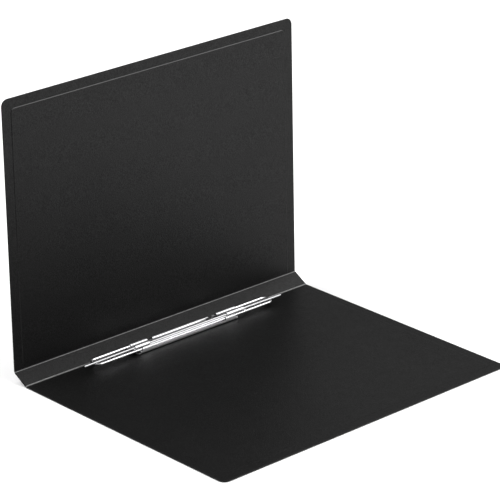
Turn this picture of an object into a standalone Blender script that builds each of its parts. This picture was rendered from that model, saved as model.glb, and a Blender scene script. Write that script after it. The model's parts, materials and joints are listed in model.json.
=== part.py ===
"""A4 clamp file: three creased plastic panels and a folding steel wire clamp.

Run it with: blender --background --factory-startup --python part.py

World frame in metres: the origin is at the middle of the back cover's underside, which lies
on the desk, +X runs along the spine, +Y points at the spine and +Z is up.  All sizes below
are in millimetres.  The clamp is laid out in its own datum, whose origin is on the spine
crease, on the back cover's inner face.
"""

from math import cos, pi, radians, sin

import bmesh
import bpy
from mathutils import Matrix, Vector

MM = 0.001

# Folder panels
SPINE_LENGTH = 307.0
BACK_WIDTH = 231.0
FRONT_WIDTH = 226.0
SPINE_WIDTH = 16.0
SHEET = 1.2
CORNER_RADIUS = 6.0
CREASE_GAP = 0.15
SPINE_ANGLE = 30.0
FRONT_ANGLE = 88.5

# Wire frame and presser rod, in the clamp's datum
WIRE_RADIUS = 1.1
AXIS_HEIGHT = 3.6
FRONT_BAR_Y = -13.5
REAR_BAR_Y = -3.3
FRAME_LEFT = -90.7
FRAME_RIGHT = 101.5
FRAME_BEND = 4.5
FRAME_END_INSET = 1.5
ROD_RADIUS = 0.85
ROD_Y = -14.2
ROD_HEIGHT = 7.05
ROD_TIP_HEIGHT = 6.75
ROD_LEFT = -105.0
ROD_RIGHT = 110.0

# Stamped steel pieces
PLATE = 0.6
BARREL_CLEARANCE = 0.1
BARREL_WRAP = 280.0
GRIP_WRAP = 260.0
BASE_LIFT = 0.1
BASE_PLATE = 0.8
BASE_LEFT = -49.0
BASE_RIGHT = 62.5
BASE_REAR = -6.0
BASE_CORNER = 4.0
BASE_LIP = 2.5
BASE_BARRELS = ((-44.0, -34.0), (47.0, 57.0))
CATCH = (39.0, 41.5)
CATCH_THICK = 0.8
CATCH_HEIGHT = 6.4
PRESSER_LEFT = -54.0
PRESSER_RIGHT = 70.0
PRESSER_HEIGHT = 5.5
PRESSER_CORNER = 2.5
PRESSER_OVERHANG = 1.75
PRESSER_MIDDLE_REAR = -7.0
PRESSER_LEAVE = 125.0
PRESSER_SLOPE = ((-4.57, 4.54), (-5.0, 4.36), (-5.6, 4.3))
PRESSER_RISE = (-10.8, -12.6)
PRESSER_BARRELS = ((-48.0, -30.0), (46.0, 67.0))
PRESSER_GRIPS = ((-52.0, -37.0), (48.0, 67.0))
WINDOW = (31.0, 46.0)
WINDOW_FRONT = -11.4

# Lever and its rivet
LEVER_LEFT = -24.8
LEVER_TIP = 38.0
LEVER_PIVOT_X = -23.0
LEVER_PIVOT_Z = 2.75
LEVER_FRONT = -5.4
LEVER_WIDTH = 3.5
LEVER_BOTTOM = 1.5
LEVER_TOP = 5.2
LEVER_TAPER_START = 26.0
LEVER_TIP_WIDTH = 1.2
EAR = (-28.0, -20.5)
EAR_BOTTOM = 1.5
EAR_FRONT = -6.1
PIN_RADIUS = 0.6
PIN_HEAD_RADIUS = 1.05
PIN_HEAD = 0.4
PIN_HEAD_ROUND = 0.3
PIN_CLEARANCE = 0.08

# Rivets through the back cover
RIVETS_X = (-39.0, 52.0)
RIVET_Y = -10.3
RIVET_SHANK = 1.9
RIVET_HOLE = 2.1
RIVET_HEAD = 4.5
RIVET_SINK = 4.7
RIVET_SINK_DEPTH = 0.45
RIVET_TOP = 3.1
RIVET_TOP_FLAT = 2.2
RIVET_TOP_HEIGHT = 0.6
RIVET_BITE = 0.05
RIVET_SEAT_GAP = 0.08
RIVET_EDGE = 0.1

CUT_MARGIN = 2.0
ARC_STEPS = 20
STEP_POINTS = 6


def clear_scene():
    for old in list(bpy.data.objects):
        bpy.data.objects.remove(old, do_unlink=True)


def new_collection(name):
    made = bpy.data.collections.new(name)
    bpy.context.scene.collection.children.link(made)
    return made


def make_material(name, colour, roughness, metallic):
    material = bpy.data.materials.new(name)
    material.use_nodes = True
    shader = material.node_tree.nodes["Principled BSDF"]
    shader.inputs["Base Color"].default_value = (*colour, 1.0)
    shader.inputs["Roughness"].default_value = roughness
    shader.inputs["Metallic"].default_value = metallic
    return material


def arc(centre, radius, start, end, steps=ARC_STEPS):
    """Points along an arc in a plane; angles in degrees, both ends included."""
    turns = [radians(start + (end - start) * i / steps) for i in range(steps + 1)]
    return [(centre[0] + radius * cos(a), centre[1] + radius * sin(a)) for a in turns]


def rounded_rectangle(low, high, radius):
    """Outline of a rectangle with round corners, counter-clockwise."""
    corners = (
        ((high[0] - radius, high[1] - radius), 0),
        ((low[0] + radius, high[1] - radius), 90),
        ((low[0] + radius, low[1] + radius), 180),
        ((high[0] - radius, low[1] + radius), 270),
    )
    outline = []
    for centre, start in corners:
        outline += arc(centre, radius, start, start + 90, steps=8)
    return outline


def as_mesh(thing):
    """Swap a curve object for the closed mesh that it evaluates to."""
    evaluated = thing.evaluated_get(bpy.context.evaluated_depsgraph_get())
    mesh = bpy.data.meshes.new_from_object(evaluated)
    shape = bmesh.new()
    shape.from_mesh(mesh)
    bmesh.ops.remove_doubles(shape, verts=shape.verts, dist=1e-6)
    bmesh.ops.recalc_face_normals(shape, faces=shape.faces)
    shape.to_mesh(mesh)
    shape.free()
    mesh.transform(thing.matrix_world)
    name = thing.name
    collection = thing.users_collection[0]
    bpy.data.objects.remove(thing, do_unlink=True)
    made = bpy.data.objects.new(name, mesh)
    collection.objects.link(made)
    return made


def extrusion(name, outline, start, end, collection, along="X"):
    """A closed outline in millimetres, extruded from start to end along X, Y or Z.

    The outline's two coordinates are (Y, Z) for X, (X, Z) for Y and (X, Y) for Z.
    """
    curve = bpy.data.curves.new(name, "CURVE")
    curve.dimensions = "2D"
    curve.fill_mode = "BOTH"
    curve.extrude = (end - start) / 2 * MM
    spline = curve.splines.new("POLY")
    spline.points.add(len(outline) - 1)
    for point, (u, v) in zip(spline.points, outline):
        point.co = (u * MM, v * MM, 0, 1)
    spline.use_cyclic_u = True
    made = bpy.data.objects.new(name, curve)
    middle = (start + end) / 2 * MM
    if along == "X":
        made.rotation_euler = (pi / 2, 0, pi / 2)
        made.location = (middle, 0, 0)
    elif along == "Y":
        made.rotation_euler = (pi / 2, 0, 0)
        made.location = (0, middle, 0)
    else:
        made.location = (0, 0, middle)
    collection.objects.link(made)
    bpy.context.view_layer.update()
    return as_mesh(made)


def wire(name, points, radius, collection):
    """A round wire through a list of points in millimetres."""
    curve = bpy.data.curves.new(name, "CURVE")
    curve.dimensions = "3D"
    curve.bevel_depth = radius * MM
    curve.bevel_resolution = 4
    curve.use_fill_caps = True
    curve.resolution_u = 1
    spline = curve.splines.new("POLY")
    spline.points.add(len(points) - 1)
    for point, place in zip(spline.points, points):
        point.co = (*(value * MM for value in place), 1)
    made = bpy.data.objects.new(name, curve)
    collection.objects.link(made)
    bpy.context.view_layer.update()
    made = as_mesh(made)
    shade_smooth(made)
    return made


def box(name, low, high, collection):
    """An axis-aligned box between two corners in millimetres."""
    mesh = bpy.data.meshes.new(name)
    shape = bmesh.new()
    size = [(b - a) * MM for a, b in zip(low, high)]
    middle = [(a + b) / 2 * MM for a, b in zip(low, high)]
    bmesh.ops.create_cube(shape, size=1.0)
    bmesh.ops.scale(shape, vec=size, verts=shape.verts)
    bmesh.ops.translate(shape, vec=middle, verts=shape.verts)
    shape.to_mesh(mesh)
    shape.free()
    made = bpy.data.objects.new(name, mesh)
    collection.objects.link(made)
    return made


def round_bar(name, centre, radius, start, end, along, collection):
    """A cylinder cutter between two heights along Y or Z."""
    outline = arc(centre, radius, 0, 345, steps=23)
    return extrusion(name, outline, start, end, collection, along)


def turned(name, profile, collection):
    """A solid of revolution about Z from (radius, height) points in millimetres."""
    mesh = bpy.data.meshes.new(name)
    verts = [(r * MM, 0, z * MM) for r, z in profile]
    edges = [(i, i + 1) for i in range(len(profile) - 1)]
    mesh.from_pydata(verts, edges, [])
    made = bpy.data.objects.new(name, mesh)
    collection.objects.link(made)
    screw = made.modifiers.new("turn", "SCREW")
    screw.steps = 24
    screw.render_steps = 24
    screw.use_merge_vertices = True
    screw.merge_threshold = 1e-6
    screw.use_normal_calculate = True
    return made


def shade_smooth(thing):
    for face in thing.data.polygons:
        face.use_smooth = True


def cut(thing, cutter, operation="DIFFERENCE"):
    """Cut, keep or join another solid, which then only shows as a wire helper."""
    cutter.hide_render = True
    cutter.display_type = "WIRE"
    modifier = thing.modifiers.new(operation.lower(), "BOOLEAN")
    modifier.operation = operation
    modifier.solver = "EXACT"
    modifier.object = cutter


def place(thing, parent, material):
    """Hang an object on its empty and give it its material."""
    thing.parent = parent
    thing.data.materials.clear()
    thing.data.materials.append(material)


def empty(name, location, collection, angle=0.0):
    made = bpy.data.objects.new(name, None)
    made.empty_display_size = 10 * MM
    made.location = [value * MM for value in location]
    made.rotation_euler = (radians(angle), 0, 0)
    collection.objects.link(made)
    return made


def panel(name, near, far, creased, collection):
    """A flat sheet from near to far along Y, with its middle plane at Z = 0.

    creased names the edges (near, far) that end in a scored wedge; corners on the other
    edges are rounded.
    """
    half = SHEET / 2
    outline = []
    if near in creased:
        outline += [(near + half, half), (near, 0), (near + half, -half)]
    else:
        outline += [(near, half), (near, -half)]
    if far in creased:
        outline += [(far - half, -half), (far, 0), (far - half, half)]
    else:
        outline += [(far, -half), (far, half)]
    reach = SPINE_LENGTH / 2
    made = extrusion(name, outline, -reach, reach, collection)
    free = [edge * MM for edge in (near, far) if edge not in creased]
    if free:
        round_free_corners(made, free)
    return made


def round_free_corners(thing, free_edges):
    """Round the corner edges, which run through the sheet, at the given Y positions."""
    shape = bmesh.new()
    shape.from_mesh(thing.data)
    corners = []
    for edge in shape.edges:
        one, other = (vert.co for vert in edge.verts)
        upright = abs(one.x - other.x) < 1e-6 and abs(one.y - other.y) < 1e-6
        if upright and any(abs(one.y - y) < 1e-6 for y in free_edges):
            corners.append(edge)
    bmesh.ops.bevel(
        shape, geom=corners, offset=CORNER_RADIUS * MM, segments=8, profile=0.5, affect="EDGES"
    )
    shape.to_mesh(thing.data)
    shape.free()


def sheet_section(path, thickness):
    """Closed outline of a bent sheet whose middle line is the given path."""
    left = []
    right = []
    for i, (u, v) in enumerate(path):
        before = Vector(path[max(i - 1, 0)])
        after = Vector(path[min(i + 1, len(path) - 1)])
        run = (after - before).normalized()
        side = Vector((-run.y, run.x)) * thickness / 2
        left.append((u + side.x, v + side.y))
        right.append((u - side.x, v - side.y))
    return left + right[::-1]


def build_folder(parts, cutters, datum, plastic):
    """The three panels, hung on empties that stand on the two crease axes."""
    back = panel("back_cover", -BACK_WIDTH, -CREASE_GAP, (-CREASE_GAP,), parts)
    place(back, datum, plastic)
    for x in RIVETS_X:
        hole = round_bar(
            "rivet_hole", (x, RIVET_Y), RIVET_HOLE, -SHEET, SHEET, "Z", cutters
        )
        sink = round_bar(
            "rivet_sink",
            (x, RIVET_Y),
            RIVET_SINK,
            -SHEET,
            RIVET_SINK_DEPTH - SHEET / 2,
            "Z",
            cutters,
        )
        for cutter in (hole, sink):
            cutter.parent = datum
            cut(back, cutter)

    spine_axis = empty("spine_axis", (0, 0, 0), parts, SPINE_ANGLE)
    spine_axis.parent = datum
    creases = (CREASE_GAP, SPINE_WIDTH - CREASE_GAP)
    spine = panel("spine_panel", creases[0], creases[1], creases, parts)
    place(spine, spine_axis, plastic)

    front_axis = empty("front_axis", (0, SPINE_WIDTH, 0), parts, FRONT_ANGLE - SPINE_ANGLE)
    front_axis.parent = spine_axis
    front = panel("front_cover", CREASE_GAP, FRONT_WIDTH, (CREASE_GAP,), parts)
    place(front, front_axis, plastic)


def build_base_plate(parts, cutters, datum, steel):
    """The riveted plate: floor, low front lip, two barrels for the frame and the catch."""
    middle = BASE_LIFT + BASE_PLATE / 2
    barrel = WIRE_RADIUS + BARREL_CLEARANCE + PLATE / 2
    web = FRONT_BAR_Y - barrel
    path = [(BASE_REAR, middle), (web + PLATE, middle), (web, middle + PLATE)]
    path += arc((FRONT_BAR_Y, AXIS_HEIGHT), barrel, 180, 180 - BARREL_WRAP)
    plate = extrusion(
        "base_plate", sheet_section(path, PLATE), BASE_LEFT, BASE_RIGHT, parts
    )
    stops = [BASE_LEFT - CUT_MARGIN]
    for low, high in BASE_BARRELS:
        stops += [low, high]
    stops.append(BASE_RIGHT + CUT_MARGIN)
    for low, high in zip(stops[::2], stops[1::2]):
        cutter = box(
            "barrel_gap",
            (low, web - CUT_MARGIN, BASE_LIP),
            (high, BASE_REAR + CUT_MARGIN, ROD_HEIGHT),
            cutters,
        )
        cutter.parent = datum
        cut(plate, cutter)
    outer = web - PLATE / 2
    outline = rounded_rectangle((BASE_LEFT, outer), (BASE_RIGHT, BASE_REAR), BASE_CORNER)
    keep = extrusion("base_outline", outline, -CUT_MARGIN, ROD_HEIGHT, cutters, "Z")
    keep.parent = datum
    cut(plate, keep, "INTERSECT")
    for x in RIVETS_X:
        centre = (x, RIVET_Y)
        hole = round_bar("base_hole", centre, RIVET_HOLE, -CUT_MARGIN, CUT_MARGIN, "Z", cutters)
        hole.parent = datum
        cut(plate, hole)
    catch = box(
        "catch",
        (CATCH[0], BASE_REAR - CATCH_THICK, middle),
        (CATCH[1], BASE_REAR, CATCH_HEIGHT),
        cutters,
    )
    catch.parent = datum
    cut(plate, catch, "UNION")
    place(plate, datum, steel)


def build_rivets(parts, datum, steel):
    """Two rivets: wide head sunk in the cover's outside, formed head on the base plate."""
    foot = -SHEET + RIVET_BITE
    seat = -SHEET + RIVET_SINK_DEPTH - RIVET_SEAT_GAP
    floor = BASE_LIFT + BASE_PLATE - RIVET_BITE
    crown = floor + RIVET_TOP_HEIGHT
    profile = [(0, crown), (RIVET_TOP_FLAT, crown - RIVET_BITE)]
    profile += [(RIVET_TOP, floor + RIVET_TOP_HEIGHT / 3), (RIVET_TOP, floor)]
    profile += [(RIVET_SHANK, floor), (RIVET_SHANK, seat)]
    profile += [(RIVET_HEAD, seat), (RIVET_HEAD, foot + RIVET_EDGE)]
    profile += [(RIVET_HEAD - RIVET_EDGE, foot), (0, foot)]
    for x, side in zip(RIVETS_X, ("left", "right")):
        rivet = turned(f"base_rivet_{side}", profile, parts)
        rivet.location = (x * MM, RIVET_Y * MM, 0)
        place(rivet, datum, steel)
        shade_smooth(rivet)


def build_wire_frame(parts, frame_axis, steel):
    """The swinging loop: front bar in the base's barrels, rear bar open in the middle."""
    bend = FRAME_BEND
    low = (FRAME_LEFT + bend, FRONT_BAR_Y + bend)
    high = (FRAME_RIGHT - bend, REAR_BAR_Y - bend)
    flat = [(PRESSER_BARRELS[0][1] - FRAME_END_INSET, REAR_BAR_Y)]
    flat += arc((low[0], high[1]), bend, 90, 180, 6)
    flat += arc(low, bend, 180, 270, 6)
    flat += arc((high[0], low[1]), bend, 270, 360, 6)
    flat += arc(high, bend, 0, 90, 6)
    flat += [(PRESSER_BARRELS[1][0] + FRAME_END_INSET, REAR_BAR_Y)]
    points = [(x, y - FRONT_BAR_Y, 0) for x, y in flat]
    frame = wire("wire_frame", points, WIRE_RADIUS, parts)
    place(frame, frame_axis, steel)


def presser_section():
    """Middle line of the presser: rear barrel, slope, flat, rise and trough round the rod."""
    barrel = WIRE_RADIUS + BARREL_CLEARANCE + PLATE / 2
    grip = ROD_RADIUS + BARREL_CLEARANCE + PLATE / 2
    flat = PRESSER_HEIGHT + PLATE / 2
    leave = PRESSER_LEAVE
    path = arc((REAR_BAR_Y, AXIS_HEIGHT), barrel, leave - BARREL_WRAP, leave)
    path += PRESSER_SLOPE
    low = path[-1][1]
    start, end = PRESSER_RISE
    for i in range(STEP_POINTS + 1):
        share = i / STEP_POINTS
        climb = (flat - low) * share * share * (3 - 2 * share)
        path.append((start + (end - start) * share, low + climb))
    path += arc((ROD_Y, flat + grip), grip, -90, -90 - GRIP_WRAP)
    return path


def build_presser_plate(parts, cutters, presser_axis, steel):
    """The stamped presser with its barrels, rod grips, window and the lever's ear."""
    plate = extrusion(
        "presser_plate",
        sheet_section(presser_section(), PLATE),
        PRESSER_LEFT,
        PRESSER_RIGHT,
        parts,
    )
    ear_rear = EAR_FRONT + PLATE
    top = ROD_HEIGHT + 3 * ROD_RADIUS
    left = PRESSER_LEFT - CUT_MARGIN
    right = PRESSER_RIGHT + CUT_MARGIN
    window_rear = PRESSER_MIDDLE_REAR + CUT_MARGIN
    # strips behind the flat and the window: start and end in X and Y, full height
    cuts = [
        ("left_tail", left, PRESSER_BARRELS[0][0], ear_rear, 0, 0),
        ("ear_gap", PRESSER_BARRELS[0][1], EAR[1], ear_rear, 0, 0),
        ("lever_gap", EAR[1], PRESSER_BARRELS[1][0], PRESSER_MIDDLE_REAR, 0, 0),
        ("right_tail", PRESSER_BARRELS[1][1], right, ear_rear, 0, 0),
        ("window", WINDOW[0], WINDOW[1], WINDOW_FRONT, window_rear, 0),
    ]
    # lengths of the front roll between and beyond the two grips, above the flat only
    front_gaps = [
        ("left_front", left, PRESSER_GRIPS[0][0]),
        ("mid_front", PRESSER_GRIPS[0][1], PRESSER_GRIPS[1][0]),
        ("right_front", PRESSER_GRIPS[1][1], right),
    ]
    roll = 2 * PRESSER_OVERHANG
    for name, x0, x1 in front_gaps:
        cuts.append((name, x0, x1, ROD_Y - roll, ROD_Y + roll, PRESSER_HEIGHT + PLATE))
    for name, x0, x1, y0, y1, z0 in cuts:
        cutter = box(name, (x0, y0, z0), (x1, y1, top), cutters)
        cutter.parent = presser_axis.parent
        cut(plate, cutter)
    outline = rounded_rectangle(
        (PRESSER_LEFT, ROD_Y - PRESSER_OVERHANG), (PRESSER_RIGHT, 0), PRESSER_CORNER
    )
    keep = extrusion("presser_outline", outline, 0, top, cutters, "Z")
    keep.parent = presser_axis.parent
    cut(plate, keep, "INTERSECT")
    ear = box(
        "lever_ear",
        (EAR[0], EAR_FRONT, EAR_BOTTOM),
        (EAR[1], ear_rear, PRESSER_SLOPE[-1][1]),
        cutters,
    )
    ear.parent = presser_axis.parent
    cut(plate, ear, "UNION")
    hole = round_bar(
        "ear_hole",
        (LEVER_PIVOT_X, LEVER_PIVOT_Z),
        PIN_RADIUS + BARREL_CLEARANCE,
        EAR_FRONT - CUT_MARGIN,
        ear_rear + PLATE / 2,
        "Y",
        cutters,
    )
    hole.parent = presser_axis.parent
    cut(plate, hole)
    move_origin(plate, presser_axis)
    place(plate, presser_axis, steel)


def move_origin(thing, axis):
    """Express a mesh laid out in the clamp's datum in its axis empty's own frame."""
    thing.data.transform(Matrix.Translation(-axis.location))


def build_presser_rod(parts, presser_axis, steel):
    """The long rod: level in its grips, with both ends set slightly down."""
    stations = [
        (ROD_LEFT, ROD_TIP_HEIGHT),
        (PRESSER_LEFT, ROD_HEIGHT),
        (PRESSER_RIGHT, ROD_HEIGHT),
        (ROD_RIGHT, ROD_TIP_HEIGHT),
    ]
    points = [(x, ROD_Y, z) for x, z in stations]
    rod = wire("presser_rod", points, ROD_RADIUS, parts)
    move_origin(rod, presser_axis)
    place(rod, presser_axis, steel)


def build_lever(parts, cutters, lever_axis, datum, steel):
    """An upturned channel that tapers to its tip, and the rivet it turns on."""
    rear = LEVER_FRONT + LEVER_WIDTH
    inner = (LEVER_FRONT + PLATE, rear - PLATE)
    outline = [(LEVER_FRONT, LEVER_BOTTOM), (inner[0], LEVER_BOTTOM)]
    outline += [(inner[0], LEVER_TOP - PLATE), (inner[1], LEVER_TOP - PLATE)]
    outline += [(inner[1], LEVER_BOTTOM), (rear, LEVER_BOTTOM)]
    outline += [(rear, LEVER_TOP), (LEVER_FRONT, LEVER_TOP)]
    lever = extrusion("lever", outline, LEVER_LEFT, LEVER_TIP, parts)
    wedge_outline = [
        (LEVER_TAPER_START, LEVER_FRONT),
        (LEVER_TAPER_START - CUT_MARGIN, LEVER_FRONT - CUT_MARGIN),
        (LEVER_TIP + CUT_MARGIN, LEVER_FRONT - CUT_MARGIN),
        (LEVER_TIP + CUT_MARGIN, rear - LEVER_TIP_WIDTH),
        (LEVER_TIP, rear - LEVER_TIP_WIDTH),
    ]
    wedge = extrusion("tip_taper", wedge_outline, 0, LEVER_TOP + CUT_MARGIN, cutters, "Z")
    hole = round_bar(
        "lever_hole",
        (LEVER_PIVOT_X, LEVER_PIVOT_Z),
        PIN_RADIUS + BARREL_CLEARANCE,
        LEVER_FRONT - CUT_MARGIN,
        inner[0] + PLATE / 2,
        "Y",
        cutters,
    )
    for cutter in (wedge, hole):
        cutter.parent = datum
        cut(lever, cutter)
    lever.data.transform(Matrix.Translation(-lever_axis.location - lever_axis.parent.location))
    place(lever, lever_axis, steel)


def build_lever_rivet(parts, presser_axis, steel):
    """The rivet through the ear and the lever's front wall, along Y."""
    wall_rear = LEVER_FRONT + PLATE
    start = EAR_FRONT - PIN_CLEARANCE
    end = wall_rear + PIN_CLEARANCE
    profile = [(0, start - PIN_HEAD), (PIN_HEAD_RADIUS - PIN_HEAD_ROUND, start - PIN_HEAD)]
    profile += [(PIN_HEAD_RADIUS, start - PIN_HEAD / 2), (PIN_HEAD_RADIUS, start)]
    profile += [(PIN_RADIUS, start), (PIN_RADIUS, end), (PIN_HEAD_RADIUS, end)]
    profile += [(PIN_HEAD_RADIUS, end + PIN_HEAD), (0, end + PIN_HEAD)]
    rivet = turned("lever_rivet", profile[::-1], parts)
    place(rivet, presser_axis, steel)
    axis = presser_axis.location
    rivet.location = (LEVER_PIVOT_X * MM, -axis.y, LEVER_PIVOT_Z * MM - axis.z)
    rivet.rotation_euler = (-pi / 2, 0, 0)
    shade_smooth(rivet)


def main():
    clear_scene()
    parts = new_collection("clamp_file")
    cutters = new_collection("cutters")
    plastic = make_material("black_plastic", (0.02, 0.02, 0.021), 0.45, 0.0)
    steel = make_material("plated_steel", (0.78, 0.78, 0.80), 0.2, 1.0)

    crease_y = BACK_WIDTH / 2
    folder_datum = empty("folder_datum", (0, crease_y, SHEET / 2), parts)
    clamp_datum = empty("clamp_datum", (0, crease_y, SHEET), parts)
    frame_axis = empty("frame_axis", (0, FRONT_BAR_Y, AXIS_HEIGHT), parts)
    frame_axis.parent = clamp_datum
    presser_axis = empty("presser_axis", (0, REAR_BAR_Y, AXIS_HEIGHT), parts)
    presser_axis.parent = clamp_datum
    lever_place = (LEVER_PIVOT_X, LEVER_FRONT - REAR_BAR_Y, LEVER_PIVOT_Z - AXIS_HEIGHT)
    lever_axis = empty("lever_axis", lever_place, parts)
    lever_axis.parent = presser_axis
    bpy.context.view_layer.update()

    build_folder(parts, cutters, folder_datum, plastic)
    build_base_plate(parts, cutters, clamp_datum, steel)
    build_rivets(parts, clamp_datum, steel)
    build_wire_frame(parts, frame_axis, steel)
    build_presser_plate(parts, cutters, presser_axis, steel)
    build_presser_rod(parts, presser_axis, steel)
    build_lever(parts, cutters, lever_axis, clamp_datum, steel)
    build_lever_rivet(parts, presser_axis, steel)


main()
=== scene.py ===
"""Looks of the A4 clamp file: grained black plastic panels and a bright plated wire clamp.

All sizes are in metres, in the part's own frame: +X along the spine, +Y towards it and +Z up.
"""

import json
from math import atan2, cos, pi, radians, sin

import bmesh
import bpy
from mathutils import Matrix, Vector

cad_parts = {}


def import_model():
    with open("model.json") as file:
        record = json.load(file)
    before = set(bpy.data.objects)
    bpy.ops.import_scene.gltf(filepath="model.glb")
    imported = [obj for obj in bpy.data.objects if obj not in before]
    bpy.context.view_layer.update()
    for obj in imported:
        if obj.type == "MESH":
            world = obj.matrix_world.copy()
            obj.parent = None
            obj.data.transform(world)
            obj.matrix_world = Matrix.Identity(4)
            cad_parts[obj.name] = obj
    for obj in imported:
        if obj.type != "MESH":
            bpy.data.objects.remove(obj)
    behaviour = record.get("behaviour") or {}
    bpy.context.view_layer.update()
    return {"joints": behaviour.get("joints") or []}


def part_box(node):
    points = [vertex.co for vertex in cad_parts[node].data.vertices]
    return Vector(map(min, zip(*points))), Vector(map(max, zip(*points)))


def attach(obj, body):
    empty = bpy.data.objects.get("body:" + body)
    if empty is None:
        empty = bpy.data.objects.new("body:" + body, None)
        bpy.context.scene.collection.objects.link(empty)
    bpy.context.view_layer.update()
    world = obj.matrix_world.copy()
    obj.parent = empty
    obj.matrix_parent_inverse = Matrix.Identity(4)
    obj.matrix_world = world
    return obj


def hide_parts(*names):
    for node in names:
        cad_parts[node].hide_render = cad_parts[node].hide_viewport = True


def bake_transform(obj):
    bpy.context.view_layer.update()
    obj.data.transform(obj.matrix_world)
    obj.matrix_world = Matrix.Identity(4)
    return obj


MM = 0.001

# Camera
CAMERA_PLACE = (-1.4961, -1.5843, 0.9938)
CAMERA_AZIMUTH = radians(-42.985)
CAMERA_ELEVATION = radians(22.097)
CAMERA_LENS = 216.8
CAMERA_NEAR = 0.05

# Studio
SKY_STRENGTH = 0.32
FLOOR_REACH = 6.0
FLOOR_SINK = 0.2 * MM
# name, place, target, size and power in watts of each soft box
SOFT_BOXES = (
    ("key", (1.5, -0.8, 2.3), (0.2, 0, 0), (3.6, 3.0), 97),
    ("wash", (-1.3, 1.5, 2.0), (-0.6, 1.0, 0), (2.0, 2.0), 72),
    ("front", (1.3, -1.65, 0.55), (0, 0.1, 0.05), (1.6, 0.8), 5.5),
    ("pool", (0.45, -0.45, 0.12), (0.45, -0.45, 0), (0.7, 0.14), 1.9),
)

# Steels: name, grey, roughness, and whether the drawing lines run along X
STEELS = (
    ("plated_sheet", (0.74, 0.74, 0.75), 0.4, True),
    ("plated_wire", (0.9, 0.9, 0.91), 0.3, True),
    # painted shade: the rod's grey is set lower than the wire's, for the shade it lies in between
    # the wires
    ("shade_darkened_rod", (0.5, 0.5, 0.51), 0.38, True),
    ("rivet_steel", (0.5, 0.5, 0.51), 0.3, False),
)

# Panels
CORNER_RADIUS = 6.0 * MM
CREASE_GAP = 0.15 * MM
CREASE_CORNER = 0.3 * MM
CREASE_HALF_WIDTH = 0.36 * MM
CREASE_HALF_THICK = 0.14 * MM
CREASE_COLUMNS = 8
CREASE_STATIONS = 24
EDGE_ROUND = 0.3 * MM
# how far in the middle of a rounded edge lies, as a share of its radius
ROUND_MIDDLE = 0.3
# the pressed border, inwards from a free edge: where its flat starts and ends, and its width
FLAT_START = 0.7 * MM
FLAT_END = 8.3 * MM
MARGIN_WIDTH = 8.5 * MM
# the same rows lie this close together along a crease
CREASE_STEP = 0.1 * MM
TOP_LAND = 0.3 * MM
STEP_RADIUS = 4.0 * MM
# how far each panel's border is pressed in, and how wide the step up from it is
FRONT_STEP = (0.36 * MM, 0.5 * MM)
BACK_STEP = (0.1 * MM, 1.2 * MM)
SPINE_STEP = (0.02 * MM, 1.2 * MM)
CORNER_STEPS = 10
SINK_RADIUS = 4.7 * MM
SINK_DEPTH = 0.45 * MM
SINK_SIDES = 40
# rings of a panel, from its underside up: the wedge at a crease and the border's step
WEDGE_ROWS = (3, 4, 5, 6)
STEP_ROW = 9

# Clamp, in millimetres from the middle of the spine crease on the back cover's inner face
PLATE = 0.6
WIRE_RADIUS = 1.1
ROD_RADIUS = 0.85
WIRE_SIDES = 24
WIRE_PITCH = 6.0
WIRE_END_ROUND = 0.25
FRONT_BAR = (-13.5, 3.6)
REAR_BAR = (-3.3, 3.6)
FRAME_BEND = 4.5
FRAME_BEND_STEPS = 10
FRAME_ENDS = (-31.5, 47.5)
ROD_Y = -14.2
ROD_PITCH = 5.0
ROD_END_ROUND = 0.5
ROD_TIP_SINK = 0.3
BARREL_RADIUS = 1.5
BARREL_WRAP = 280
GRIP_RADIUS = 1.25
GRIP_WRAP = 260
CURL_STEPS = 24
BASE_CURL_STEPS = 22
FOLD_STEPS = 5
SHEET_PITCH = 2.0
PRESSER_ROW_PITCH = 0.3
BASE_ENDS = (-49.0, 62.5)
BASE_REAR = -6.0
BASE_FRONT = -15.0
BASE_FLOOR = 0.5
BASE_LIP = 2.5
BASE_CORNER = 4.0
BASE_BEND = 0.8
BASE_ROWS = (0, 0.4, 0.9, 1.6, 2.6, 4.0, 6.5)
BASE_BARRELS = ((-44.0, -34.0), (47.0, 57.0))
# opposite corners of the upright catch for the lever's tip
CATCH = ((39.0, -6.8, 0.3), (41.5, -6.0, 6.4))
PRESSER_ENDS = (-54.0, 70.0)
PRESSER_TROUGH = 5.8
PRESSER_LEAVE = 125.0
PRESSER_SLOPE = ((-4.57, 4.54), (-4.8, 4.42), (-5.1, 4.33), (-5.6, 4.3))
PRESSER_RISE = (-10.8, -12.6)
PRESSER_BARRELS = ((-48.0, -30.0), (46.0, 67.0))
PRESSER_GRIPS = ((-52.0, -37.0), (48.0, 67.0))
PRESSER_TAIL_EDGE = -5.5
PRESSER_FRONT = -15.2
PRESSER_MIDDLE_EDGE = -7.0
PRESSER_CORNER = 1.2
BEAD_Y = -8.9
BEAD_HALF = 0.9
BEAD_RISE = 0.28
WINDOW = (31.0, 46.0)
WINDOW_FRONT = -11.4
# opposite corners of the upright ear that holds the lever's rivet
EAR = ((-28.0, -6.1, 1.5), (-20.5, -5.5, 4.2))
LEVER_ENDS = (-24.8, 38.0)
LEVER_WALLS = (-5.1, -2.2)
LEVER_BOTTOM = 1.5
LEVER_TOP = 4.9
LEVER_BEND = 1.4
LEVER_TAPER_START = 26.0
LEVER_TIP_WIDTH = 0.6
LEVER_PIVOT = (-23.0, 2.75)
BASE_RIVETS = ((-39.0, -10.3), (52.0, -10.3))
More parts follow.
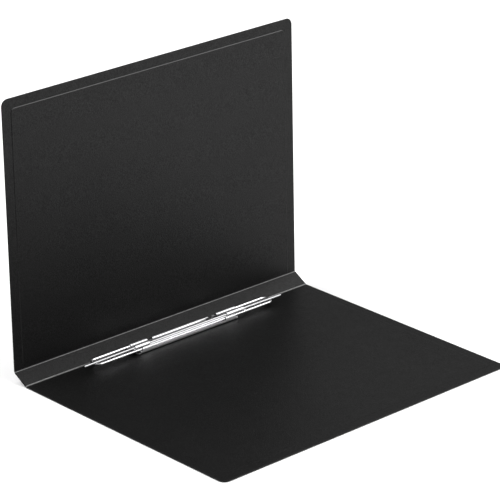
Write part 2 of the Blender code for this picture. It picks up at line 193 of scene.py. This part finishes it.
# rivet outlines as (radius, height): a sunk head and a pin's head from their outer faces,
# a crown from its top
RIVET_HEAD = ((0.02, 0), (4.2, 0), (4.42, 0.05), (4.5, 0.14), (4.5, 0.3), (1.9, 0.32))
RIVET_CROWN = (
    (1.9, -0.6),
    (2.9, -0.6),
    (3.07, -0.5),
    (3.05, -0.38),
    (2.75, -0.2),
    (2.1, -0.07),
    (1.2, -0.015),
    (0.02, 0),
)
PIN_HEAD = ((0.02, 0), (0.7, 0.02), (0.95, 0.12), (1.05, 0.26), (1.05, 0.4), (0.6, 0.4))
TURNED_SIDES = 40
EDGE_SOFT = 0.1
MERGE_DISTANCE = 1e-7
# faces are sorted along this slanting direction
FACE_ORDER = Vector((1.0, 0.317, 0.173))
# the least cosine used when a corner of a sheet is pushed out to keep its thickness
LEAN_LIMIT = 0.5
END_TURNS = (0.0, pi / 8, pi / 4, 3 * pi / 8, pi / 2)


# ---------------------------------------------------------------- materials


def new_material(name):
    """A material with its Principled shader; returns material, nodes, links and shader."""
    material = bpy.data.materials.new(name)
    material.use_nodes = True
    nodes = material.node_tree.nodes
    return material, nodes, material.node_tree.links, nodes["Principled BSDF"]


def noise(nodes, links, coordinates, scale, detail, roughness):
    """A noise texture; scale counts its patches per metre."""
    made = nodes.new("ShaderNodeTexNoise")
    made.inputs["Scale"].default_value = scale
    made.inputs["Detail"].default_value = detail
    made.inputs["Roughness"].default_value = roughness
    links.new(coordinates, made.inputs["Vector"])
    return made


def ramp(nodes, links, factor, stops):
    """A colour ramp from (position, grey or colour) stops."""
    made = nodes.new("ShaderNodeValToRGB")
    elements = made.color_ramp.elements
    while len(elements) < len(stops):
        elements.new(0.5)
    for element, (position, colour) in zip(elements, stops):
        element.position = position
        if isinstance(colour, (int, float)):
            colour = (colour, colour, colour)
        element.color = (*colour, 1.0)
    links.new(factor, made.inputs["Fac"])
    return made


def bump(nodes, links, height, strength, distance, below=None):
    """A bump of a given depth in metres, on top of another one if below is given."""
    made = nodes.new("ShaderNodeBump")
    made.inputs["Strength"].default_value = strength
    made.inputs["Distance"].default_value = distance
    links.new(height, made.inputs["Height"])
    if below is not None:
        links.new(below.outputs["Normal"], made.inputs["Normal"])
    return made


def object_coordinates(nodes):
    return nodes.new("ShaderNodeTexCoord").outputs["Object"]


def grained_plastic():
    """Black polypropylene with a fine sand grain and faint rub marks."""
    material, nodes, links, shader = new_material("grained_black_plastic")
    place = object_coordinates(nodes)
    grain = nodes.new("ShaderNodeTexVoronoi")
    grain.inputs["Scale"].default_value = 1500.0
    grain.inputs["Randomness"].default_value = 1.0
    links.new(place, grain.inputs["Vector"])
    fine = noise(nodes, links, place, scale=3200.0, detail=3.0, roughness=0.6)
    cloud = noise(nodes, links, place, scale=14.0, detail=4.0, roughness=0.55)
    rubs = noise(nodes, links, place, scale=90.0, detail=3.0, roughness=0.7)

    tone = ramp(nodes, links, cloud.outputs["Fac"], ((0.3, 0.0038), (0.7, 0.005)))
    links.new(tone.outputs["Color"], shader.inputs["Base Color"])
    polish = ramp(nodes, links, rubs.outputs["Fac"], ((0.35, 0.42), (0.75, 0.37)))
    links.new(polish.outputs["Color"], shader.inputs["Roughness"])
    speck = noise(nodes, links, place, scale=1100.0, detail=2.0, roughness=0.7)
    gleam = ramp(nodes, links, speck.outputs["Fac"], ((0.35, 0.09), (0.65, 0.21)))
    links.new(gleam.outputs["Color"], shader.inputs["Specular IOR Level"])

    pits = bump(nodes, links, grain.outputs["Distance"], strength=0.7, distance=0.00012)
    skin = bump(nodes, links, fine.outputs["Fac"], strength=0.35, distance=0.00008, below=pits)
    links.new(skin.outputs["Normal"], shader.inputs["Normal"])
    return material


def whitened_plastic():
    """The same plastic where a crease has stretched it: paler and smoother."""
    material, nodes, links, shader = new_material("stress_whitened_plastic")
    place = object_coordinates(nodes)
    streaks = noise(nodes, links, place, scale=420.0, detail=4.0, roughness=0.6)
    tone = ramp(nodes, links, streaks.outputs["Fac"], ((0.25, 0.14), (0.75, 0.26)))
    links.new(tone.outputs["Color"], shader.inputs["Base Color"])
    shine = ramp(nodes, links, streaks.outputs["Fac"], ((0.2, 0.42), (0.8, 0.3)))
    links.new(shine.outputs["Color"], shader.inputs["Roughness"])
    rough = bump(nodes, links, streaks.outputs["Fac"], strength=0.3, distance=0.00005)
    links.new(rough.outputs["Normal"], shader.inputs["Normal"])
    return material


def painted_highlight_plastic():
    """Painted highlight on the top border's step: the plastic made a little paler where light
    catches it, and glossier.
    """
    material, nodes, links, shader = new_material("painted_highlight_plastic")
    place = object_coordinates(nodes)
    patches = noise(nodes, links, place, scale=260.0, detail=3.0, roughness=0.6)
    # painted highlight: a paler base colour than the plain plastic's
    tone = ramp(nodes, links, patches.outputs["Fac"], ((0.3, 0.016), (0.7, 0.026)))
    links.new(tone.outputs["Color"], shader.inputs["Base Color"])
    shine = ramp(nodes, links, patches.outputs["Fac"], ((0.3, 0.4), (0.7, 0.3)))
    links.new(shine.outputs["Color"], shader.inputs["Roughness"])
    rough = bump(nodes, links, patches.outputs["Fac"], strength=0.2, distance=0.00005)
    links.new(rough.outputs["Normal"], shader.inputs["Normal"])
    return material


def plated_steel(name, tone, roughness, drawn_along_x):
    """Bright nickel plate over steel, with fine lines along the drawing direction."""
    material, nodes, links, shader = new_material(name)
    place = object_coordinates(nodes)
    stretch = nodes.new("ShaderNodeMapping")
    stretch.inputs["Scale"].default_value = (0.03, 1.0, 1.0) if drawn_along_x else (1, 1, 1)
    links.new(place, stretch.inputs["Vector"])
    lines = noise(nodes, links, stretch.outputs["Vector"], scale=5200.0, detail=3.0, roughness=0.6)
    cloud = noise(nodes, links, place, scale=130.0, detail=3.0, roughness=0.5)
    light = tuple(value * 1.04 for value in tone)
    dark = tuple(value * 0.9 for value in tone)
    colour = ramp(nodes, links, cloud.outputs["Fac"], ((0.3, dark), (0.7, light)))
    links.new(colour.outputs["Color"], shader.inputs["Base Color"])
    gloss = ramp(
        nodes, links, lines.outputs["Fac"], ((0.3, roughness * 0.85), (0.7, roughness * 1.15))
    )
    links.new(gloss.outputs["Color"], shader.inputs["Roughness"])
    shader.inputs["Metallic"].default_value = 1.0
    drawn = bump(nodes, links, lines.outputs["Fac"], strength=0.05, distance=0.00001)
    links.new(drawn.outputs["Normal"], shader.inputs["Normal"])
    return material


def pale_floor():
    """White paper with a barely visible tooth."""
    material, nodes, links, shader = new_material("pale_floor")
    place = object_coordinates(nodes)
    tooth = noise(nodes, links, place, scale=6.0, detail=3.0, roughness=0.5)
    tone = ramp(nodes, links, tooth.outputs["Fac"], ((0.3, 0.93), (0.7, 0.95)))
    links.new(tone.outputs["Color"], shader.inputs["Base Color"])
    shader.inputs["Roughness"].default_value = 0.9
    shader.inputs["Specular IOR Level"].default_value = 0.1
    return material


# ---------------------------------------------------------------- mesh helpers


def link(thing):
    bpy.context.scene.collection.objects.link(thing)
    return thing


def new_object(name, shape, materials, sharp=35.0):
    """An object from a bmesh: smooth faces, with edges steeper than sharp left crisp."""
    bmesh.ops.recalc_face_normals(shape, faces=shape.faces)
    for face in shape.faces:
        face.smooth = True
    for edge in shape.edges:
        edge.smooth = edge.is_manifold and edge.calc_face_angle() < radians(sharp)
    # bevelling leaves the faces in an order that changes from run to run
    shape.faces.sort(key=lambda face: face.calc_center_median().dot(FACE_ORDER))
    mesh = bpy.data.meshes.new(name)
    shape.to_mesh(mesh)
    shape.free()
    for material in materials:
        mesh.materials.append(material)
    return link(bpy.data.objects.new(name, mesh))


def stitch(shape, rings, material_of=None):
    """Join closed rings of equal length with quads; material_of(ring, index) picks slots."""
    for k in range(len(rings) - 1):
        lower, upper = rings[k], rings[k + 1]
        count = len(lower)
        for i in range(count):
            j = (i + 1) % count
            face = shape.faces.new((lower[i], lower[j], upper[j], upper[i]))
            if material_of:
                face.material_index = material_of(k, i)


# ---------------------------------------------------------------- folder


def panel_ring(shape, reach, low, high, radii, height):
    """One closed ring of a panel: a rectangle with a corner radius at low and high Y."""
    corners = (
        ((reach - radii[1], high - radii[1]), radii[1], 0),
        ((-reach + radii[1], high - radii[1]), radii[1], 90),
        ((-reach + radii[0], low + radii[0]), radii[0], 180),
        ((reach - radii[0], low + radii[0]), radii[0], 270),
    )
    ring = []
    for (x, y), radius, start in corners:
        for step in range(CORNER_STEPS + 1):
            turn = radians(start + 90 * step / CORNER_STEPS)
            ring.append(shape.verts.new((x + radius * cos(turn), y + radius * sin(turn), height)))
    return ring


def ring_edges(shape, ring):
    """The edges between neighbours in a closed ring of vertices."""
    return [shape.edges.get((one, other)) for one, other in zip(ring, ring[1:] + ring[:1])]


def close_underside(shape, ring, sinks):
    """Fill a panel's underside, leaving a round sink for each rivet's outer head."""
    if not sinks:
        shape.faces.new(ring[::-1])
        return
    edges = ring_edges(shape, ring)
    bottom = ring[0].co.z
    for x, y in sinks:
        loops = []
        for height in (bottom, bottom + SINK_DEPTH):
            points = arc((x, y), SINK_RADIUS, 0, 360, SINK_SIDES)[:-1]
            loops.append([shape.verts.new((px, py, height)) for px, py in points])
        stitch(shape, loops)
        shape.faces.new(loops[1])
        edges += ring_edges(shape, loops[0])
    bmesh.ops.triangle_fill(shape, edges=edges, use_beauty=True)


def panel(name, reach, near, far, thick, creased, step, materials, sinks=()):
    """A sheet along local Y from near to far, with its middle plane at Z = 0.

    creased holds two flags: does the near edge, and does the far edge, end in a scored
    wedge.  Free edges are rounded, and inside them a low border is pressed all round:
    step holds its depth and the width of the slope up from it, and sinks the places of
    round sinks in the underside.
    """
    half = thick / 2
    drop, slope = step
    brim = half - drop
    soft = EDGE_ROUND * ROUND_MIDDLE
    land = CREASE_GAP + brim
    foot = land + 3 * CREASE_STEP
    # inset from a free edge, height, inset from a crease
    rows = (
        (EDGE_ROUND, -half, CREASE_GAP + half),
        (soft, soft - half, CREASE_GAP + half - soft),
        (0, EDGE_ROUND - half, CREASE_GAP + half - EDGE_ROUND),
        (0, 0, CREASE_GAP),
        (0, brim - EDGE_ROUND, land - EDGE_ROUND),
        (soft, brim - soft, land - soft),
        (EDGE_ROUND, brim, land),
        (FLAT_START, brim, land + CREASE_STEP),
        (FLAT_END, brim, land + 2 * CREASE_STEP),
        (MARGIN_WIDTH, brim, foot),
        (MARGIN_WIDTH + slope, half, foot + slope),
        (MARGIN_WIDTH + slope + TOP_LAND, half, foot + slope + TOP_LAND),
    )
    shape = bmesh.new()
    rings = []
    for inset, height, crease_inset in rows:
        low = near + (crease_inset if creased[0] else inset)
        high = far - (crease_inset if creased[1] else inset)
        curve = CORNER_RADIUS - inset if inset < MARGIN_WIDTH / 2 else STEP_RADIUS
        radii = [CREASE_CORNER if flag else curve for flag in creased]
        rings.append(panel_ring(shape, reach - inset, low, high, radii, height))

    def slot_of(row, index):
        """Whitened plastic on a crease's inner wedge, and a painted highlight (paler plastic) on
        the far border's step.
        """
        side, spot = divmod(index, CORNER_STEPS + 1)
        on_edge = spot == CORNER_STEPS
        at_crease = on_edge and ((side == 0 and creased[1]) or (side == 2 and creased[0]))
        if at_crease:
            return 1 if row in WEDGE_ROWS else 0
        middle = CORNER_STEPS // 2
        is_far = (side == 0 and spot >= middle) or (side == 1 and spot < middle)
        # the far border's step takes the paler plastic: a painted highlight
        return 2 if is_far and not creased[1] and row == STEP_ROW else 0

    stitch(shape, rings, slot_of)
    close_underside(shape, rings[0], sinks)
    shape.faces.new(rings[-1])
    return new_object(name, shape, materials, sharp=20.0)


def set_in_frame(thing, origin, angle):
    """Move a mesh built along local Y to its hinge axis, turned by angle about +X."""
    thing.data.transform(Matrix.Translation(origin) @ Matrix.Rotation(angle, 4, "X"))


def crease(name, axis, angles, reach, material):
    """The living hinge: a thin web that follows both panels round the crease axis."""
    middle_turn = Matrix.Rotation((angles[0] + angles[1]) / 2, 3, "X")
    shape = bmesh.new()
    rings = []
    for station in range(CREASE_STATIONS + 1):
        x = -reach + 2 * reach * station / CREASE_STATIONS
        ring = []
        for side in (1, -1):
            for column in range(CREASE_COLUMNS + 1):
                share = side * (2 * column / CREASE_COLUMNS - 1)
                turn = angles[0] if share < 0 else angles[1]
                along = Vector((0, share * CREASE_HALF_WIDTH, 0))
                flat = Matrix.Rotation(turn, 3, "X") @ along
                lift = side * CREASE_HALF_THICK * (1 - abs(share) / 2)
                normal = middle_turn @ Vector((0, 0, lift))
                ring.append(shape.verts.new(Vector((x, 0, 0)) + flat + normal + axis))
        rings.append(ring)
    stitch(shape, rings)
    shape.faces.new(rings[0][::-1])
    shape.faces.new(rings[-1])
    made = new_object(name, shape, [material], sharp=60.0)
    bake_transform(made)


def build_folder(hinges, plastic, whitened, painted_step_highlight):
    """Three panels and the two living hinges between them."""
    low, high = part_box("back_cover")
    thick = high.z - low.z
    reach = high.x
    spine_axis = hinges["spine_fold"]
    front_axis = hinges["front_fold"]
    run = front_axis - spine_axis
    spine_angle = atan2(run.z, run.y)
    front_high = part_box("front_cover")[1]
    front_run = Vector((0, front_high.y - thick / 2, front_high.z)) - front_axis
    front_run.x = 0
    front_angle = atan2(front_run.z, front_run.y)
    materials = [plastic, whitened, painted_step_highlight]
    sinks = [(x * MM, y * MM) for x, y in BASE_RIVETS]

    start = low.y - spine_axis.y
    flags = (False, True)
    back = panel("back_sheet", reach, start, 0, thick, flags, BACK_STEP, materials, sinks)
    set_in_frame(back, spine_axis, 0)
    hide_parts("back_cover")
    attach(back, "back")

    end = run.length
    spine = panel("spine_sheet", reach, 0, end, thick, (True, True), SPINE_STEP, materials)
    set_in_frame(spine, spine_axis, spine_angle)
    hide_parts("spine_panel")
    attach(spine, "spine")

    end = front_run.length
    front = panel("front_sheet", reach, 0, end, thick, (True, False), FRONT_STEP, materials)
    set_in_frame(front, front_axis, front_angle)
    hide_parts("front_cover")
    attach(front, "front")

    crease("spine_crease", spine_axis, (0, spine_angle), reach, whitened)
    angles = (spine_angle, front_angle)
    crease("front_crease", front_axis, angles, reach, whitened)


# ---------------------------------------------------------------- clamp


def arc(centre, radius, start, end, steps=16):
    """Points along an arc; angles in degrees, both ends included."""
    turns = [radians(start + (end - start) * i / steps) for i in range(steps + 1)]
    return [(centre[0] + radius * cos(a), centre[1] + radius * sin(a)) for a in turns]


def tube(name, path, radius, end_round, material):
    """A round wire along a path that lies almost flat, with rounded ends."""
    path = [Vector(point) for point in path]
    stops = [(end_round * (1 - sin(a)), radius - end_round * (1 - cos(a))) for a in END_TURNS]
    first = (path[1] - path[0]).normalized()
    last = (path[-1] - path[-2]).normalized()
    rings = [(path[0] + first * run, first, size) for run, size in stops[::-1]]
    for before, here, after in zip(path, path[1:], path[2:]):
        rings.append((here, (after - before).normalized(), radius))
    rings += [(path[-1] - last * run, last, size) for run, size in stops]
    shape = bmesh.new()
    loops = []
    for centre, along, size in rings:
        side = along.cross(Vector((0, 0, 1))).normalized()
        up = side.cross(along)
        loop = []
        for step in range(WIRE_SIDES):
            turn = 2 * pi * step / WIRE_SIDES
            point = centre + (side * cos(turn) + up * sin(turn)) * size
            loop.append(shape.verts.new(point * MM))
        loops.append(loop)
    stitch(shape, loops)
    shape.faces.new(loops[0][::-1])
    shape.faces.new(loops[-1])
    return new_object(name, shape, [material], sharp=50.0)


def spread(stops, pitch):
    """Every stop in order, with even steps of about the pitch between them."""
    stops = sorted(set(stops))
    spots = []
    for low, high in zip(stops, stops[1:]):
        count = max(1, round((high - low) / pitch))
        spots += [low + (high - low) * i / count for i in range(count)]
    return spots + [stops[-1]]


def corner_inset(distance, radius):
    """How far a round corner pulls an end in, at a distance from the blank's side edge."""
    left = max(0.0, radius - distance)
    return radius - (radius * radius - left * left) ** 0.5


def sheet(name, section, spans, ends, insets, material, tabs=()):
    """A stamped sheet: a bent middle line swept along X where spans(row) allows it.

    section(x) lists the middle line's (y, z) points and insets their end insets, which
    round the blank's corners.  tabs are upright plates in one piece with the sheet.
    """
    rows = len(insets)
    lengths = [spans(row) for row in range(rows - 1)]
    stops = [x for row in lengths for span in row for x in span]
    columns = spread(stops, SHEET_PITCH)
    shape = bmesh.new()
    grid = {}

    def vertex(column, row):
        if (column, row) not in grid:
            y, z = section(columns[column])[row]
            x = min(max(columns[column], ends[0] + insets[row]), ends[1] - insets[row])
            grid[column, row] = shape.verts.new((x * MM, y * MM, z * MM))
        return grid[column, row]

    for row, present in enumerate(lengths):
        for column in range(len(columns) - 1):
            middle = (columns[column] + columns[column + 1]) / 2
            if any(low < middle < high for low, high in present):
                across = (column, column + 1, column + 1, column)
                along = (row, row, row + 1, row + 1)
                shape.faces.new([vertex(c, r) for c, r in zip(across, along)])
    bmesh.ops.remove_doubles(shape, verts=shape.verts, dist=MERGE_DISTANCE)
    bmesh.ops.dissolve_degenerate(shape, edges=shape.edges, dist=MERGE_DISTANCE)
    thicken(shape)
    for low, high in tabs:
        add_tab(shape, low, high)
    return new_object(name, shape, [material], sharp=50.0)


def thicken(shape):
    """Give an open sheet its thickness about its middle, and round its cut edges."""
    shape.normal_update()
    half = PLATE * MM / 2
    old = list(shape.faces)
    copy = bmesh.ops.duplicate(shape, geom=shape.verts[:] + shape.edges[:] + shape.faces[:])
    twin = copy["vert_map"]
    shift = {}
    for vert in {v for face in old for v in face.verts}:
        across = sum((f.normal for f in vert.link_faces), Vector()).normalized()
        lean = min(max(across.dot(vert.link_faces[0].normal), LEAN_LIMIT), 1.0)
        shift[vert] = across * half / lean
    rim = [edge for edge in shape.edges if edge.is_boundary and edge.verts[0] in shift]
    for face in copy["geom"]:
        if isinstance(face, bmesh.types.BMFace):
            face.normal_flip()
    walls = []
    for edge in rim:
        one, other = edge.verts
        loop = edge.link_loops[0]
        if loop.vert is one:
            one, other = other, one
        walls.append(shape.faces.new((one, other, twin[other], twin[one])))
    for vert, step in shift.items():
        twin[vert].co -= step
        vert.co += step
    edges = {edge for wall in walls for edge in wall.edges}
    lips = [e for e in edges if len({f for f in e.link_faces} - set(walls)) == 1]
    bmesh.ops.bevel(shape, geom=lips, offset=EDGE_SOFT * MM, segments=2, profile=0.6,
                    affect="EDGES", clamp_overlap=True)


def add_tab(shape, low, high):
    """An upright plate with softened edges between two corners in millimetres."""
    made = bmesh.ops.create_cube(shape, size=1.0)["verts"]
    for vert in made:
        for axis in range(3):
            vert.co[axis] = (low[axis] if vert.co[axis] < 0 else high[axis]) * MM
    edges = {edge for vert in made for edge in vert.link_edges}
    bmesh.ops.bevel(shape, geom=list(edges), offset=EDGE_SOFT * MM, segments=2, profile=0.6,
                    affect="EDGES")


def turned(name, profile, material):
    """A piece turned about Z from a (radius, height) profile in millimetres."""
    shape = bmesh.new()
    loops = []
    for radius, height in profile:
        loop = []
        for step in range(TURNED_SIDES):
            turn = 2 * pi * step / TURNED_SIDES
            place = (radius * cos(turn) * MM, radius * sin(turn) * MM, height * MM)
            loop.append(shape.verts.new(place))
        loops.append(loop)
    stitch(shape, loops)
    shape.faces.new(loops[0][::-1])
    shape.faces.new(loops[-1])
    return new_object(name, shape, [material], sharp=40.0)


def install(piece, origin, node, body):
    """Place a piece laid out in clamp space, in the stead of a CAD node."""
    piece.location = origin
    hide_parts(node)
    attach(piece, body)


def frame_tube(origin, steel):
    """The swinging loop, open at the rear, where its ends stop inside the barrels."""
    low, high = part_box("wire_frame")
    left = low.x / MM + WIRE_RADIUS + FRAME_BEND
    right = high.x / MM - WIRE_RADIUS - FRAME_BEND
    front, height = FRONT_BAR
    rear = REAR_BAR[0]
    flat = [(x, rear) for x in spread((FRAME_ENDS[0], left), WIRE_PITCH)[::-1]]
    flat += arc((left, rear - FRAME_BEND), FRAME_BEND, 90, 180, FRAME_BEND_STEPS)[1:]
    flat += arc((left, front + FRAME_BEND), FRAME_BEND, 180, 270, FRAME_BEND_STEPS)
    flat += [(x, front) for x in spread((left, right), WIRE_PITCH)[1:-1]]
    flat += arc((right, front + FRAME_BEND), FRAME_BEND, 270, 360, FRAME_BEND_STEPS)
    flat += arc((right, rear - FRAME_BEND), FRAME_BEND, 0, 90, FRAME_BEND_STEPS)
    flat += [(x, rear) for x in spread((right, FRAME_ENDS[1]), WIRE_PITCH)[::-1][1:]]
    path = [(x, y, height) for x, y in flat]
    piece = tube("frame_wire", path, WIRE_RADIUS, WIRE_END_ROUND, steel)
    install(piece, origin, "wire_frame", "frame")


def presser_tube(origin, steel):
    """The pressing rod: level between the grips, its free ends set a little down."""
    low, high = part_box("presser_rod")
    left, right = low.x / MM, high.x / MM
    top = (high.z - origin.z) / MM - ROD_RADIUS
    path = []
    for x in spread((left, *PRESSER_ENDS, right), ROD_PITCH):
        if x < PRESSER_ENDS[0]:
            share = (PRESSER_ENDS[0] - x) / (PRESSER_ENDS[0] - left)
        else:
            share = max(0.0, (x - PRESSER_ENDS[1]) / (right - PRESSER_ENDS[1]))
        path.append((x, ROD_Y, top - ROD_TIP_SINK * share))
    piece = tube("presser_wire", path, ROD_RADIUS, ROD_END_ROUND, steel)
    install(piece, origin, "presser_rod", "presser")


def base_sheet(origin, steel):
    """The riveted plate: floor, front lip, two barrels round the frame and the catch."""
    line = [(BASE_REAR - step, BASE_FLOOR) for step in BASE_ROWS]
    bend = (BASE_FRONT + BASE_BEND, BASE_FLOOR + BASE_BEND)
    line += arc(bend, BASE_BEND, 270, 180, FOLD_STEPS)
    line += [(BASE_FRONT, BASE_LIP)]
    lip = len(line) - 1
    line += arc(FRONT_BAR, BARREL_RADIUS, 180, 180 - BARREL_WRAP, BASE_CURL_STEPS)
    front_edge = BASE_FRONT - PLATE / 2
    insets = []
    for y, _ in line:
        distance = min(BASE_REAR - y, y - front_edge)
        insets.append(corner_inset(max(distance, 0.0), BASE_CORNER))

    def spans(row):
        return (BASE_ENDS,) if row < lip else BASE_BARRELS

    piece = sheet("base_sheet", lambda x: line, spans, BASE_ENDS, insets, steel, (CATCH,))
    install(piece, origin, "base_plate", "back")


def presser_sheet(origin, steel):
    """The stamped presser: rear barrels, stiffening bead, window, rod grips and ear."""
    curl = PRESSER_LEAVE - BARREL_WRAP
    barrel = arc(REAR_BAR, BARREL_RADIUS, curl, PRESSER_LEAVE, CURL_STEPS)
    line = barrel + list(PRESSER_SLOPE)
    low = PRESSER_SLOPE[-1][1]
    start, end = PRESSER_RISE
    ledges = (PRESSER_MIDDLE_EDGE, BEAD_Y + BEAD_HALF, BEAD_Y - BEAD_HALF, WINDOW_FRONT)
    for y in spread((PRESSER_SLOPE[-1][0], *ledges, start, end), PRESSER_ROW_PITCH)[::-1][1:]:
        near = min(1.0, abs(y - BEAD_Y) / BEAD_HALF)
        share = min(max((start - y) / (start - end), 0.0), 1.0)
        climb = (PRESSER_TROUGH - low) * share * share * (3 - 2 * share)
        line.append((y, low + climb + BEAD_RISE * cos(near * pi / 2) ** 2))
    grip_start = len(line)
    rod = (ROD_Y, PRESSER_TROUGH + GRIP_RADIUS)
    line += arc(rod, GRIP_RADIUS, -90, -90 - GRIP_WRAP, CURL_STEPS)
    lip = PRESSER_TROUGH + PLATE / 2
    insets = [0.0] * len(line)

    def spans(row):
        y = (line[row][0] + line[row + 1][0]) / 2
        z = (line[row][1] + line[row + 1][1]) / 2
        if row < len(barrel) - 1:
            return PRESSER_BARRELS
        if row >= grip_start and (z > lip or y > ROD_Y):
            return PRESSER_GRIPS
        if y > PRESSER_TAIL_EDGE:
            return PRESSER_BARRELS
        if y > PRESSER_MIDDLE_EDGE:
            return ((PRESSER_ENDS[0], EAR[1][0]), (PRESSER_BARRELS[1][0], PRESSER_ENDS[1]))
        if y > WINDOW_FRONT:
            return ((PRESSER_ENDS[0], WINDOW[0]), (WINDOW[1], PRESSER_ENDS[1]))
        return (PRESSER_ENDS,)

    for row, (y, z) in enumerate(line):
        if len(barrel) <= row:
            distance = min(PRESSER_TAIL_EDGE - y, y - PRESSER_FRONT)
            insets[row] = corner_inset(max(distance, 0.0), PRESSER_CORNER)
    piece = sheet("presser_sheet", lambda x: line, spans, PRESSER_ENDS, insets, steel, (EAR,))
    install(piece, origin, "presser_plate", "presser")


def lever_channel(origin, steel):
    """The lever: an upturned channel whose front wall closes in towards the tip."""
    front, rear = LEVER_WALLS
    bend = LEVER_BEND

    def section(x):
        share = max(0.0, (x - LEVER_TAPER_START) / (LEVER_ENDS[1] - LEVER_TAPER_START))
        near = front + (rear - LEVER_TIP_WIDTH - front) * share
        turn = min(bend, (rear - near) / 2)
        line = [(near, LEVER_BOTTOM), (near, (LEVER_BOTTOM + LEVER_TOP) / 2)]
        line += arc((near + turn, LEVER_TOP - bend), turn, 180, 90, FOLD_STEPS)[:-1]
        line += arc((rear - turn, LEVER_TOP - bend), turn, 90, 0, FOLD_STEPS)[1:]
        line = [(y, z if z < LEVER_TOP - bend else min(z, LEVER_TOP)) for y, z in line]
        return line + [(rear, (LEVER_BOTTOM + LEVER_TOP) / 2), (rear, LEVER_BOTTOM)]

    rows = len(section(0))
    stops = (LEVER_ENDS[0], LEVER_TAPER_START, LEVER_ENDS[1])

    def spans(row):
        return tuple(zip(stops, stops[1:]))

    piece = sheet("lever_channel", section, spans, LEVER_ENDS, [0.0] * rows, steel)
    install(piece, origin, "lever", "lever")


def clamp_rivets(origin, steel):
    """Domed rivets through the base plate and the small one that the lever turns on."""
    for (x, y), side in zip(BASE_RIVETS, ("left", "right")):
        node = f"base_rivet_{side}"
        low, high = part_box(node)
        foot = (low.z - origin.z) / MM
        crown = (high.z - origin.z) / MM
        profile = [(radius, foot + rise) for radius, rise in RIVET_HEAD]
        profile += [(radius, crown + rise) for radius, rise in RIVET_CROWN]
        piece = turned(f"rivet_{side}", profile, steel)
        place = origin + Vector((x, y, 0)) * MM
        install(piece, place, node, "back")

    low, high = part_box("lever_rivet")
    length = (high.y - low.y) / MM
    profile = list(PIN_HEAD)
    profile += [(radius, length - rise) for radius, rise in reversed(PIN_HEAD)]
    piece = turned("rivet_lever", profile, steel)
    piece.data.transform(Matrix.Rotation(-pi / 2, 4, "X"))
    place = Vector((LEVER_PIVOT[0] * MM, low.y, origin.z + LEVER_PIVOT[1] * MM))
    install(piece, place, "lever_rivet", "presser")


# ---------------------------------------------------------------- studio


def area_light(name, place, target, size, power):
    """A white soft box at a place, facing a target."""
    data = bpy.data.lights.new(name, "AREA")
    data.shape = "RECTANGLE"
    data.size, data.size_y = size
    data.energy = power
    lamp = link(bpy.data.objects.new(name, data))
    lamp.location = place
    lamp.rotation_euler = (Vector(place) - Vector(target)).to_track_quat("Z", "Y").to_euler()


def build_studio():
    """A white floor, a pale world and soft boxes."""
    world = bpy.data.worlds.new("studio")
    bpy.context.scene.world = world
    world.use_nodes = True
    sky = world.node_tree.nodes["Background"]
    sky.inputs["Color"].default_value = (1.0, 1.0, 1.0, 1.0)
    sky.inputs["Strength"].default_value = SKY_STRENGTH

    shape = bmesh.new()
    bmesh.ops.create_grid(shape, x_segments=8, y_segments=8, size=FLOOR_REACH)
    floor = new_object("floor", shape, [pale_floor()])
    floor.location = (0, 0, -FLOOR_SINK)
    for soft_box in SOFT_BOXES:
        area_light(*soft_box)


def build_camera():
    data = bpy.data.cameras.new("camera")
    data.lens = CAMERA_LENS
    data.clip_start = CAMERA_NEAR
    camera = link(bpy.data.objects.new("camera", data))
    camera.location = CAMERA_PLACE
    camera.rotation_euler = (pi / 2 - CAMERA_ELEVATION, 0, CAMERA_AZIMUTH)
    bpy.context.scene.camera = camera


def main():
    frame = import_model()
    hinges = {joint["name"]: Vector(joint["pos_m"]) for joint in frame["joints"]}
    plastic = grained_plastic()
    whitened = whitened_plastic()
    sheet_steel, wire_steel, shade_darkened_rod_steel, rivet_steel = [plated_steel(*kind) for kind in STEELS]

    build_folder(hinges, plastic, whitened, painted_highlight_plastic())
    clamp = Vector((0, hinges["spine_fold"].y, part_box("back_cover")[1].z))
    base_sheet(clamp, sheet_steel)
    clamp_rivets(clamp, rivet_steel)
    frame_tube(clamp, wire_steel)
    presser_sheet(clamp, sheet_steel)
    presser_tube(clamp, shade_darkened_rod_steel)
    lever_channel(clamp, sheet_steel)

    build_studio()
    build_camera()
    bpy.context.scene.view_settings.view_transform = "Standard"


main()
